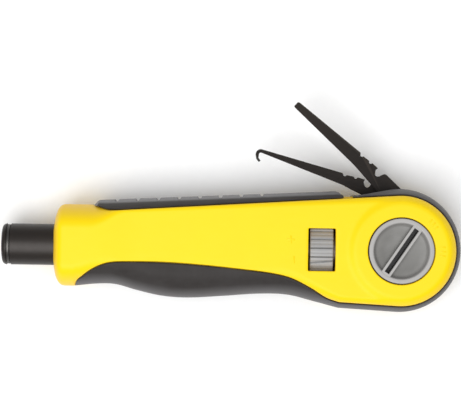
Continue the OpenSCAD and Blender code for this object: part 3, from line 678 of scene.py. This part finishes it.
# Cross-sections of a shell: flat on the parting plane, sunk under the soft covering, and
# stepped up to a lipped panel between its two edges
def shellRings(x, across=84):
    x = x[:, None]
    onPanel = x < headX + panelR
    inner = headR - housing["skin"]
    past = x > headX
    circle = np.sqrt(np.maximum(0, inner ** 2 - (x - headX) ** 2))
    coreHigh = np.where(past, circle, topEdge(x) - housing["skin"])
    coreLow = np.where(past, -circle, bottomEdge(x) + housing["skin"])
    high = np.maximum(0.15, np.minimum(panelTop(x), topEdge(x) - 0.02))
    low = np.minimum(-0.15, np.maximum(panelBottom(x), bottomEdge(x) + 0.02))
    bareHigh, bareLow = high > topEdge(x) - 0.05, low < bottomEdge(x) + 0.05
    outHigh = np.where(bareHigh & ~past, high - housing["joint"], np.maximum(coreHigh, high + 0.02))
    outLow = np.where(bareLow & ~past, low + housing["joint"], np.minimum(coreLow, low - 0.02))
    y = mix(high, low, (1 - np.cos(np.pi * np.linspace(0, 1, across)))[None] / 2)
    fromTop = (high - y) / np.sqrt(1 + railSlope(panelTop, x) ** 2)
    fromLow = (y - low) / np.sqrt(1 + railSlope(panelBottom, x) ** 2)
    edge = np.where(past, panelR - np.hypot(x - headX, y), np.minimum(fromTop, fromLow))
    lip = lipDrop(np.maximum(edge, 0), housing["lip"]) * ease((x - padX + 6) / 4)
    outer = sideHeight(x, y, 0, crown) - lip
    shape = np.maximum(np.where(onPanel, outer, sideHeight(x, y, housing["skin"])), 0.02)
    share = np.linspace(0, 1, 5)[None]
    upper, lower = mix(outHigh, high, share), mix(low, outLow, share)
    flat = mix(outLow, outHigh, np.linspace(0, 1, 9)[None])
    upperZ = np.maximum(sideHeight(x, upper, housing["skin"]), 0.01 + 0.16 * bareHigh * share)
    lowerZ = np.maximum(sideHeight(x, lower, housing["skin"]), 0.01 + 0.16 * bareLow * (1 - share))
    ys = np.concatenate([flat, upper, y, lower], 1)
    zs = np.concatenate([0 * flat, upperZ, shape, lowerZ], 1)
    return np.stack([x + 0 * ys, ys, zs], -1)


# Stations along the housing, closer together where it turns
def shellStations():
    nose = noseX + housing["noseRound"] * (1 - np.cos(np.linspace(0.06, np.pi / 2, 16)))
    grip = np.arange(noseX + 5.6, padX + 14, 0.7)
    body = np.arange(grip[-1] + 1.2, headX - 24, 1.2)
    head = np.arange(body[-1] + 0.8, headX - 0.4, 0.8)
    turn = headX + panelR * np.sin(np.radians(np.linspace(0, 88.5, 44)))
    rim = np.array([panelR - 0.004, panelR + 0.004, mix(panelR, headR - housing["skin"], 0.9)]) + headX
    return np.concatenate([nose, grip, body, head, turn, rim])


# Points turned over to the other half: Z is negated
def mirrored(points):
    return points * np.array([1, 1, -1])


# The slot along the spine that the blades fold into: a flat outline of floor, round pocket and
# the face that stops an open blade, carried through the parting plane
def slotShape():
    turn = math.radians(housing["openMost"])
    back, out = np.array([math.cos(turn), -math.sin(turn)]), np.array([math.sin(turn), math.cos(turn)])
    stop = pivot[:2] + housing["stopRoom"] * out
    floor, top = pivot[1] - housing["slotDepth"], housing["slotTop"]
    bend = np.radians(np.linspace(-90, -20, 12))
    bowl = pivot[:2] + housing["pocket"] * np.column_stack([np.cos(bend), np.sin(bend)])
    outline = np.concatenate([
        [(housing["slotX"], floor), (pivot[0] - housing["slotNeck"], floor)], bowl,
        [stop, stop - housing["stopLong"] * back, (pivot[0], top), (housing["slotX"], top)]])
    half = housing["slotHalf"]
    rings = np.stack([np.column_stack([outline, np.full(len(outline), z)]) for z in (-half, half)])
    return loft(rings)


# A hole through a face with a flared mouth: an outline that grows by 0 to 1 flare near the face
def flaredHole(outline, low, face, flare, top=4.0):
    levels = [(low, 0.0), (face - flare, 0.0), (face - 0.6 * flare, 0.1), (face - 0.25 * flare, 0.4),
              (face, 1.0), (face + top, 1.0 + top / flare)]
    return loft(np.stack([np.column_stack([outline(grow * flare), np.full(len(outline(0)), z)])
                          for z, grow in levels]))


window = {"side": 0.75, "half": 8.2, "corner": 0.5, "flare": 0.3, "floor": 5.0}    # over the wheel
screwWell = {"room": 0.3, "flare": 0.3, "deep": 1.8}
lidSeat = {"room": 0.16, "flare": 0.3, "depth": 1.9}    # the round recess that the lid lies in
lidRadius = (lidHigh[0] - lidLow[0]) / 2


# The window's rectangle with rounded corners, grown all round
def windowOutline(grow):
    wide = (wheelHigh[0] - wheelLow[0]) / 2 + window["side"] + grow
    tall = window["half"] + grow
    middle = (wheelHigh[0] + wheelLow[0]) / 2
    c = window["corner"] + grow
    return rounded([(middle - wide, -tall, c), (middle + wide, -tall, c),
                    (middle + wide, tall, c), (middle - wide, tall, c)])


# A circle's outline, as a function of how much it grows
def circleOutline(centre, radius, steps=160):
    turn = np.arange(steps) * 2 * np.pi / steps
    return lambda grow: np.column_stack([centre[0] + (radius + grow) * np.cos(turn),
                                         centre[1] + (radius + grow) * np.sin(turn)])


# Pocket for what lies on the barrel's axis: steps of (start, radius), each as long as it takes
# to reach the next, turned about X
def axisPocket():
    screwLow, screwHigh = boxOf("preload_screw")
    steps = [(noseX - 2, radiusOf("nose_barrel") + 0.3),
             (boxOf("nose_bushing")[0][0] - 0.05, radiusOf("nose_bushing") + 0.05),
             (boxOf("guide_tube")[0][0], radiusOf("guide_tube") + 0.05),
             (screwLow[0] - 1.7, screwHigh[1] + 0.1),
             (wheelLow[0] - window["side"], radiusOf("force_wheel") + 0.35),
             (boxOf("thrust_washer")[1][0] + 0.05, 4.9), (screwHigh[0] + 1.7, 4.9)]
    profile = [(0.01, steps[0][0])]
    for (start, radius), (end, _) in zip(steps, steps[1:]):
        profile += [(radius, start), (radius, end)]
    return turned(profile + [(0.01, steps[-1][0])], (0, 0, 0), "x", 96)


# A plain round pocket along Z
def roundPocket(centre, radius, low, high, steps=160):
    return turned([(radius, low), (radius, high)], (centre[0], centre[1], 0), "z", steps)


# Where the housing screws are: the middle and radius of each head, sorted along X
def screwPlaces():
    data = nodes["housing_screws"].data
    points = np.empty(len(data.vertices) * 3)
    data.vertices.foreach_get("co", points)
    points = points.reshape(-1, 3) / mm
    heads = points[points[:, 2] < points[:, 2].min() + 0.1]
    heads = heads[np.argsort(heads[:, 0])]
    groups = np.split(heads, np.nonzero(np.diff(heads[:, 0]) > 3)[0] + 1)
    halves = [half for g in groups for half in (g[g[:, 1] > 0], g[g[:, 1] <= 0]) if len(half)]
    return [((half.min(0) + half.max(0)) / 2, np.ptp(half[:, 0]) / 2) for half in halves]


# Wells over the screws' heads, flared where they come out of the lower side
def screwWells(face):
    wells = []
    for middle, radius in screwPlaces():
        points, faces = flaredHole(circleOutline(middle[:2], radius + screwWell["room"], 48),
                                   -middle[2] - screwWell["deep"], face, screwWell["flare"])
        wells.append((mirrored(points), faces))
    return wells


# Both shells: one set of cross-sections and its mirror, less slot, axis pocket and storage well,
# with the window and the lid's seat in the upper one and the screw wells in the lower one
def makeShells():
    rings = shellRings(shellStations())
    upper = meshObject("upper_housing", [loft(rings)], "yellow_housing", "housing", ["upper_shell"])
    lower = meshObject("lower_housing", [loft(mirrored(rings))], "yellow_housing", "housing",
                       ["lower_shell"])
    cupLow, cupHigh = boxOf("storage_cup")
    cupRadius = (cupHigh[0] - cupLow[0]) / 2 + 0.03
    seat = housing["collarZ"] - lidSeat["depth"]
    for shell, low, high in ((upper, -1, seat + 0.5), (lower, cupLow[2], 1)):
        cutOut(shell, [slotShape()])
        cutOut(shell, [axisPocket()])
        cutOut(shell, [roundPocket((headX, 0), cupRadius, low, high)])
    cutOut(upper, [flaredHole(windowOutline, window["floor"], housing["handleZ"], window["flare"])])
    cutOut(upper, [flaredHole(circleOutline((headX, 0), lidRadius + lidSeat["room"]),
                              seat, housing["collarZ"], lidSeat["flare"])])
    cutOut(lower, screwWells(housing["handleZ"]))


# Raised marks: a plus and a minus beside the wheel, and two groups of ticks round the lid
marks = {
    "plus": (-12.0, 3.7), "minus": (-10.7, -4.1),   # from the middle of the wheel
    "long": 3.0, "wide": 0.75,
    "tickLong": 2.4, "tickWide": 0.6, "tickRadius": 15.7,
    "tickStep": 6.0, "ticks": (0.0, 41.0),          # degrees round the lid
    "height": 0.13, "corner": 0.25,
}


# Each mark is a bar with rounded corners that follows the side face: (centre, length, width, turn)
def makeMarks():
    middle = np.array([(wheelHigh[0] + wheelLow[0]) / 2, 0])
    bars = [(middle + marks[name], marks["long"], marks["wide"], turn)
            for name, turn in (("plus", 0), ("plus", 90), ("minus", 90))]
    for turn in [at + marks["tickStep"] * k for at in marks["ticks"] for k in (-1, 0, 1)]:
        way = np.array([math.cos(math.radians(turn)), math.sin(math.radians(turn))])
        centre = np.array([headX, 0]) + marks["tickRadius"] * way
        bars.append((centre, marks["tickLong"], marks["tickWide"], turn))
    shapes, corner = [], marks["corner"]
    for centre, long, wide, turn in bars:
        outline = rounded([(-long / 2, -wide / 2, corner), (long / 2, -wide / 2, corner),
                           (long / 2, wide / 2, corner), (-long / 2, wide / 2, corner)], 4)
        c, s = math.cos(math.radians(turn)), math.sin(math.radians(turn))
        rings = []
        for shrink, rise in ((1.0, -0.3), (1.0, 0.55), (0.9, 1.0)):
            place = outline * shrink @ np.array([[c, s], [-s, c]]) + centre
            height = rise * marks["height"] + 0.0001 * turn     # crossed bars don't share a top
            rings.append(np.column_stack([place, sideHeight(place[:, 0], place[:, 1]) + height]))
        shapes.append(loft(np.stack(rings)))
    meshObject("raised_marks", shapes, "yellow_housing", "housing", (), 40)


makeShells()
makeMarks()
print("shells made")


# Cross-sections of the soft covering. base and way give each section's line in plan; outer and
# inner are its rim and its edge at the panel, both measured from base. The surface follows
# the side face out of the parting plane, rounds into the gap beside the panel, and comes
# back underneath
def coverRings(base, way, outer, inner, reach, start, across=46, under=9, sink=0.22):
    base, way = base[:, None], way[:, None]
    outer, inner, reach = outer[:, None], inner[:, None] + housing["gap"], reach[:, None]
    width = np.maximum(outer - inner, 0.05)
    first = np.arcsin(np.clip(start[:, None] / housing["handleZ"], 0, 1))
    last = np.arccos(np.clip(1 - width / reach, 0, 1))
    t = np.linspace(0, 1, across)[None]
    excess = np.maximum(width - reach, 0)
    bend = 1 / (1 + 0.6 * excess / reach)
    turn = mix(first, last, np.clip(t / bend, 0, 1))
    depth = reach * (1 - np.cos(turn)) + excess * np.clip((t - bend) / np.maximum(1 - bend, 1e-6), 0, 1)
    depth = np.minimum(depth + housing["joint"] * (t == 0), width)
    spot = base + way * (outer - depth)[..., None]
    lip = lipDrop(width - depth, 0.5)
    z = sideHeight(spot[..., 0], spot[..., 1]) - (sink + lip) * ease((width - 0.4) / 1.2)
    z = np.where(t == 0, start[:, None], np.maximum(z, start[:, None] + 0.004 * t))
    back = np.linspace(0, 1, under)[None]
    rim = np.maximum(outer - housing["skin"] - 0.1, inner + 0.02)
    inside = base + way * mix(inner, rim, back)[..., None]
    low = np.maximum(sideHeight(inside[..., 0], inside[..., 1], housing["skin"] + 0.1), start[:, None])
    low = np.minimum(low, z[:, -1:] - 0.05)
    low = mix(low, start[:, None] + 0 * low, ease(back * 6 - 5))
    ys = np.concatenate([spot, inside], 1)
    zs = np.concatenate([z, low], 1)
    return np.concatenate([ys, zs[..., None]], -1)


# Cross-sections square to the tool's axis: their base points and the way they face in plan
def straight(x, side):
    return np.column_stack([x, 0 * x]), np.column_stack([0 * x, side + 0 * x])


# The grip along the belly, the band turned round the head's centre, and the band's front end
# along the spine, which sinks into the skin over the last stretch
def gripRings():
    low = np.concatenate([np.arange(gripX + 0.25, gripX + 6, 0.35), np.arange(gripX + 6, headX, 0.9)])
    base, way = straight(low, -1.0)
    parts = [coverRings(base, way, -bottomEdge(low), -panelBottom(low), bottomRound(low), 0 * low)]
    turn = np.radians(np.linspace(-90, 90, 110))
    base = np.column_stack([headX + 0 * turn, 0 * turn])
    way = np.column_stack([np.cos(turn), np.sin(turn)])
    slotFrom = math.degrees(math.atan2(pivot[1] - 2, 6.5))
    start = housing["slotHalf"] * ease((np.degrees(turn) - slotFrom + 4) / 4)
    whole = 1 + 0 * turn
    parts.append(coverRings(base, way, headR * whole, panelR * whole, housing["headRound"] * whole, start))
    top = np.arange(headX - 0.2, dipEnd, -0.25)
    base, way = straight(top, 1.0)
    outer = topEdge(top) - housing["skin"] * np.clip((dipEnd + dipRamp - top) / dipRamp, 0, 0.86)
    parts.append(coverRings(base, way, outer, panelTop(top), topRound(top), housing["slotHalf"] + 0 * top))
    return np.concatenate(parts)


pad = {
    "grooves": 8, "pitch": 8.04, "first": padX + 9.2,
    "width": 1.7, "depth": 0.9,
    "slope": 0.35,                  # how far each wall of a groove leans
    "chamfer": 2.2, "chamferDepth": 2.0,
}


# The spine pad: grooves cut its top down to their floor, falling in a straight line across each wall
def padRings():
    centres = pad["first"] + pad["pitch"] * np.arange(pad["grooves"])
    half = pad["width"] / 2
    side = half - pad["slope"] * np.array([0, 0.08, 0.5, 0.92, 1.0])
    walls = (centres[:, None] + np.concatenate([-side - 0.01, [0], side[::-1] + 0.01])).ravel()
    tip, body = np.arange(padX + 0.2, padX + 4, 0.3), np.arange(padX + 4, padEnd, 1.0)
    x = np.concatenate([tip, body, walls, [padEnd]])
    x = np.unique(np.round(x[(x > padX) & (x <= padEnd)], 3))
    x = np.sort(np.concatenate([x, [housing["slotX"] - 0.01, housing["slotX"] + 0.01]]))
    away = np.min(np.abs(x[:, None] - centres), 1)
    share = np.clip((half - away) / pad["slope"], 0, 1)
    base, way = straight(x, 1.0)
    cut = np.clip((x - padEnd + pad["chamfer"]) / pad["chamfer"], 0, 1)
    outer = topEdge(x) - pad["chamferDepth"] * cut
    start = np.where(x > housing["slotX"], housing["slotHalf"], 0)
    rings = coverRings(base, way, outer, panelTop(x), topRound(x), start)
    floor = np.where(share > 0, topEdge(x) - pad["depth"] * share, 1e3)[:, None]
    rings[..., 1] = np.minimum(rings[..., 1], floor)
    return rings


# Grip and spine pad, each with its mirror on the lower half; the lower grip has the screw wells
def makeCovers():
    for name, finish, rings in (("grip", "soft_grip", gripRings()), ("spine_pad", "spine_pad", padRings())):
        meshObject("upper_" + name + "_cover", [loft(rings)], finish, "housing", ["upper_" + name], 40)
        lower = meshObject("lower_" + name + "_cover", [loft(mirrored(rings))], finish, "housing",
                           ["lower_" + name], 40)
        if name == "grip":
            cutOut(lower, screwWells(housing["handleZ"]), 40)


makeCovers()
print("soft covering made")


# Force wheel
wheel = {
    "ribs": 22, "turn": 3.0,        # how many, and where one groove stands, in degrees
    "groove": 0.42, "depth": 0.75,  # half width and depth of a groove
    "crease": 0.13,                 # depth of the shallow crease along the middle of a rib
    "slope": 0.45,                  # each rib falls this much from one groove to the next
    "chamfer": 0.5,
    "mark": -22.6, "markTurn": 2.0,     # the slanted groove that marks the setting, and its slant
    "bore": 4.65,                   # round the preload screw
    "hub": 1.4, "wall": 2.0,        # how far the hub and the rim's inside lie under the rim
    "side": 32,                     # points across a rib
}


# A rim round a turned hub: radius = the wheel's - slope of the rib - its crease - wells at the
# grooves - chamfer at the ends
def makeWheel():
    radius = radiusOf("force_wheel")
    turn = np.linspace(0, 2 * np.pi, wheel["ribs"] * wheel["side"], endpoint=False)
    wide = wheelHigh[0] - wheelLow[0]
    run = np.concatenate([np.array([0, 0.06, 0.15, 0.3, 0.5]) * wheel["chamfer"] * 2,
                          np.linspace(1, wide - 1, 9)])
    x = wheelLow[0] + np.concatenate([run, wide - run[4::-1]])
    inset = wheel["chamfer"] * (1 - bulge(np.minimum(x - x[0], x[-1] - x) / wheel["chamfer"]))
    pitch = 2 * np.pi / wheel["ribs"]
    place = (np.pi / 2 - turn - math.radians(wheel["turn"])) / pitch
    away = np.abs(place - np.round(place)) * pitch * radius
    angle = (np.degrees(np.pi / 2 - turn) + 180) % 360 - 180
    away = np.where(np.abs(angle - wheel["turn"] + 2 * math.degrees(pitch)) < 6, 9.0, away)
    middle = (x[0] + x[-1]) / 2
    slant = wheel["mark"] + wheel["markTurn"] * (x - middle)[:, None] / (x[-1] - middle)
    awayMark = np.radians(np.abs(angle[None] - slant)) * radius
    well = 1 - ease(np.minimum(away[None], awayMark) / wheel["groove"])
    share = place - np.floor(place)
    fall = wheel["slope"] * share + wheel["crease"] * (1 - ease(np.abs(share - 0.5) * 6))
    r = radius - inset[:, None] - fall[None] - wheel["depth"] * well
    points = np.stack([x[:, None] + 0 * r, r * np.cos(turn), r * np.sin(turn)], -1)
    hub = rounded([(wheel["bore"], wheelLow[0], 0.2), (radius - wheel["hub"], wheelLow[0], 0.3),
                   (radius - wheel["hub"], wheelHigh[0], 0.3), (wheel["bore"], wheelHigh[0], 0.2)])
    hub = np.concatenate([hub, hub[:1]])
    hidden = radius - wheel["wall"] + 0 * r
    inner = np.stack([x[:, None] + 0 * r, hidden * np.cos(turn), hidden * np.sin(turn)], -1)
    band = np.concatenate([points, inner[::-1]])
    meshObject("thumb_wheel_rim", [(band, [gridFaces(len(band), len(turn), loop=True)]),
                                   turned(hub, (0, 0, 0), "x", 96)],
               "grey_plastic", "thumb_wheel", ["force_wheel"])


makeWheel()


# Storage lid
lid = {
    "angle": 56.0,          # of the bar, from +X
    "gap": 0.3,             # how far its edge stands in from the CAD lid's
    "rim": 1.8,             # width of the flat rim
    "dish": 2.4,            # depth of the dish just inside the rim
    "hub": 11.2, "hubLow": 7.2,     # radius of the hub under it, and how far down it goes
    "bar": 4.0, "slot": 1.85, "slotDepth": 6.2, "slotLength": 20.2,
    "edge": 0.35,           # rounding of the rim
}


# A dish turned about Z on its hub, a bar carried across it, and a coin slot cut into the bar
def makeLid():
    top, low = lidHigh[2] - 0.02, housing["collarZ"] - lidSeat["depth"] + 0.1
    r = lidRadius - lid["gap"]
    dish, floor = r - lid["rim"], top - lid["dish"]
    profile = rounded([(0.01, lid["hubLow"], 0), (lid["hub"], lid["hubLow"], 0.3), (lid["hub"], low, 0.1),
                       (r, low, 0.2), (r, top, lid["edge"]), (dish + 0.1, top, 0.5),
                       (dish - 0.6, floor, 0.9), (0.6 * dish, floor - 0.7, 1.5), (0.01, floor - 1.0, 0)], 8)
    piece = meshObject("storage_lid_cover", [turned(profile, (headX, 0, 0), "z", 192)],
                       "grey_plastic", "lid", ["storage_lid"], 30)
    turn = math.radians(lid["angle"])
    along = np.array([math.cos(turn), math.sin(turn)])
    side = np.array([-along[1], along[0]])

    # A section carried along the bar, as far as half its length to each side
    def bar(corners, half):
        section = rounded(corners, 5)
        plan = np.array([-half, half])[:, None, None] * along + section[None, :, :1] * side
        height = np.repeat(section[None, :, 1:], 2, 0)
        return loft(np.concatenate([plan + np.array([headX, 0]), height], -1))

    w, s, bottom = lid["bar"] / 2, lid["slot"] / 2, top - lid["slotDepth"]
    beam = [(-w, bottom - 1, 0), (w, bottom - 1, 0), (w, top - 0.08, 0.25), (-w, top - 0.08, 0.25)]
    slot = [(-s, bottom, 0.1), (s, bottom, 0.1), (s, top - 0.3, 0.1), (s + 0.4, top + 0.3, 0),
            (-s - 0.4, top + 0.3, 0), (-s, top - 0.3, 0.1)]
    cutOut(piece, [bar(beam, dish + 0.7)], 30, "UNION")
    cutOut(piece, [bar(slot, lid["slotLength"] / 2)], 30)


makeLid()


# Barrel and fold-out blades
barrel = {
    "nose": 1.7,                            # rounding of the nose
    "groove": 0.8,                          # depth of the ring's groove
    "grooveFront": 0.3, "grooveBack": 0.15,     # room in it before and behind the ring
    "ringRound": 0.25, "ringGap": 0.12, "ringSunk": 0.28,
}
edgeRound = {"blade": 0.14, "socket": 0.12}


# Barrel turned from a closed profile: rounded nose, groove for the snap ring, through bore. The
# ring is turned from a rounded rectangle
def makeBarrel():
    r, end = radiusOf("nose_barrel"), boxOf("nose_barrel")[1][0]
    bore = radiusOf("anvil") + 0.02
    a, b = ringLow[0] - barrel["grooveFront"], ringHigh[0] + barrel["grooveBack"]
    g = barrel["groove"]
    profile = rounded([
        (bore, 0, 0.2), (r - 0.2, 0, barrel["nose"]), (r, a, 0.12), (r - g, a, 0.05), (r - g, b, 0.05),
        (r, b, 0.15), (r, end, 0.4), (bore, end, 0.3)], 8)
    profile = np.concatenate([profile, profile[:1]])
    meshObject("barrel_sleeve", [turned(profile, (0, 0, 0), "x", 160)], "black_barrel", "barrel",
               ["nose_barrel"])
    a, b, top = ringLow[0] + barrel["ringGap"], ringHigh[0] - barrel["ringGap"], r - barrel["ringSunk"]
    ring = rounded([(r - g, a, 0.05), (top, a, barrel["ringRound"]),
                    (top, b, barrel["ringRound"]), (r - g, b, 0.05)], 5)
    ring = np.concatenate([ring, ring[:1]])
    meshObject("retaining_ring", [turned(ring, (0, 0, 0), "x", 128)], "dark_steel", "barrel", ["snap_ring"])


makeBarrel()
softened("spudger_blade", "spudger", edgeRound["blade"], "black_blade")
softened("hook_blade", "hook", edgeRound["blade"], "black_blade")
softened("blade_socket", "barrel", edgeRound["socket"], "dark_steel")
print("wheel, lid, barrel and blades made")


# A flat square under the tool's lowest point, nearly white and a little cloudy
def makeFloor():
    half, rest = 3000.0, cadBounds[0][2] / mm
    corners = np.array([[-half, -half, rest], [half, -half, rest], [half, half, rest], [-half, half, rest]])
    f = Finish("studio_floor")
    paper = f.noise(3, 4)
    finishes["studio_floor"] = f.done(Base_Color=f.mixColour(paper, rgb(246, 246, 246), rgb(250, 250, 250)),
                                      Roughness=0.8 + 0.1 * paper)
    meshObject("floor", [(corners, [np.array([[0, 1, 2, 3]])])], "studio_floor", None)


makeFloor()
makeCamera()
bpy.context.scene.view_settings.view_transform = "Standard"
makeLamp("main", light["mainPower"], light["mainSize"], light["mainPlace"])
makeLamp("fill", light["fillPower"], light["fillSize"], light["fillPlace"])
world = bpy.data.worlds.new("studio")
world.use_nodes = True
world.node_tree.nodes["Background"].inputs["Color"].default_value = (1, 1, 1, 1)
world.node_tree.nodes["Background"].inputs["Strength"].default_value = light["sky"]
bpy.context.scene.world = world

print("scene ready")
